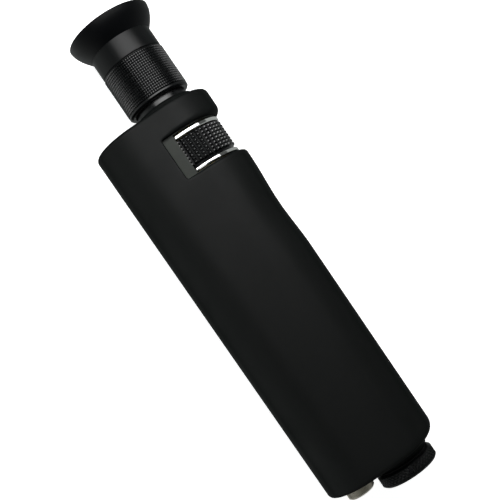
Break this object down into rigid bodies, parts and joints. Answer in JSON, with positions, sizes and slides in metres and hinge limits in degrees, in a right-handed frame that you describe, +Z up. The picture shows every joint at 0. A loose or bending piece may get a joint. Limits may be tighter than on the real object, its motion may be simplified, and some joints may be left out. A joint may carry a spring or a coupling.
{
  "type": "handheld inspection microscope",
  "caption": "Slim rubber-clad handheld microscope with a flared eyepiece, recessed focus wheel, screw-on connector adapter and battery column.",
  "frame": {"origin": "centre of the bounding box's underside, where the microscope lies on its broad back", "axes": "+Y along the optical axis towards the eyecup, +X towards the focus wheel's side, +Z up through the broad front"},
  "size_m": [0.0416, 0.169, 0.03],
  "materials": {
    "boot_rubber": "matte moulded rubber",
    "shell_metal": "satin grey anodised",
    "black_metal": "satin black anodised",
    "cup_plastic": "satin black",
    "chrome": "bright plated",
    "knob_metal": "satin nickel",
    "brass": "turned",
    "steel": "plain turned",
    "seal_rubber": "matte",
    "glass": "coated optical glass",
    "filter_glass": "tinted filter glass",
    "liner_plastic": "matte",
    "cell_wrap": "glossy sleeve",
    "board": "lacquered board",
    "led_resin": "clear resin",
    "wire_insulation": "smooth"
  },
  "bodies": {
    "housing": {"rubber_boot": "boot_rubber", "shell_tube": "shell_metal", "nose_plate": "black_metal", "top_plate": "black_metal", "nose_screw_1": "steel", "nose_screw_2": "steel", "top_screw_1": "steel", "top_screw_2": "steel", "nose_seat": "black_metal", "neck_tube": "black_metal", "lower_bearing_plate": "black_metal", "upper_bearing_plate": "black_metal", "led_board": "board", "led": "led_resin", "battery_liner": "liner_plastic", "battery_cell_lower": "cell_wrap", "battery_cell_upper": "cell_wrap", "positive_contact": "brass", "lamp_wire": "wire_insulation"},
    "wheel": {"focus_wheel": "black_metal", "wheel_ring_lower": "chrome", "wheel_ring_upper": "chrome", "focus_nut": "brass"},
    "objective": {"carriage_tube": "black_metal", "carriage_key": "steel", "objective_cell": "brass", "objective_front_lens": "glass", "objective_rear_lens": "glass", "splitter_holder": "black_metal", "beam_splitter": "glass"},
    "diopter": {"diopter_ring": "black_metal"},
    "eyepiece": {"eyepiece_tube": "black_metal", "drive_pin": "steel", "safety_filter": "filter_glass", "field_lens": "glass", "lens_spacer": "black_metal", "field_stop": "black_metal", "eye_lens": "glass", "lens_retainer": "black_metal", "eyecup": "cup_plastic"},
    "adapter_carrier": {"adapter_washer": "seal_rubber"},
    "adapter": {"adapter_ring": "black_metal", "adapter_set_screw": "steel", "adapter_insert": "black_metal", "ferrule_sleeve": "steel"},
    "cap_carrier": {"cap_seal": "seal_rubber", "cap_spring": "steel", "cap_contact": "brass"},
    "cap": {"battery_cap": "knob_metal"}
  },
  "joints": [
    {"name": "focus_turn", "type": "hinge", "parent": "housing", "child": "wheel", "pos_m": [0.0062, 0.03465, 0.015], "axis": [0, 1, 0], "range_deg": [-180, 180]},
    {"name": "focus_slide", "type": "slide", "parent": "housing", "child": "objective", "axis": [0, 1, 0], "range_m": [-0.002, 0.002]},
    {"name": "diopter_turn", "type": "hinge", "parent": "housing", "child": "diopter", "pos_m": [0.0062, 0.0625, 0.015], "axis": [0, 1, 0], "range_deg": [0, 288]},
    {"name": "eyepiece_draw", "type": "slide", "parent": "housing", "child": "eyepiece", "axis": [0, 1, 0], "range_m": [0, 0.0024]},
    {"name": "adapter_advance", "type": "slide", "parent": "housing", "child": "adapter_carrier", "axis": [0, -1, 0], "range_m": [0, 0.00337]},
    {"name": "adapter_turn", "type": "hinge", "parent": "adapter_carrier", "child": "adapter", "pos_m": [0.0062, -0.082, 0.015], "axis": [0, -1, 0], "range_deg": [0, 1620]},
    {"name": "cap_advance", "type": "slide", "parent": "housing", "child": "cap_carrier", "axis": [0, -1, 0], "range_m": [0, 0.004]},
    {"name": "cap_turn", "type": "hinge", "parent": "cap_carrier", "child": "cap", "pos_m": [-0.0098, -0.078, 0.015], "axis": [0, -1, 0], "range_deg": [0, 1440]}
  ],
  "couplings": [
    {"joint": "focus_turn", "follows": "focus_slide", "rad_per_m": 1570.8},
    {"joint": "diopter_turn", "follows": "eyepiece_draw", "rad_per_m": 2094.4},
    {"joint": "adapter_turn", "follows": "adapter_advance", "rad_per_m": 8377.5},
    {"joint": "cap_turn", "follows": "cap_advance", "rad_per_m": 6283.1}
  ]
}
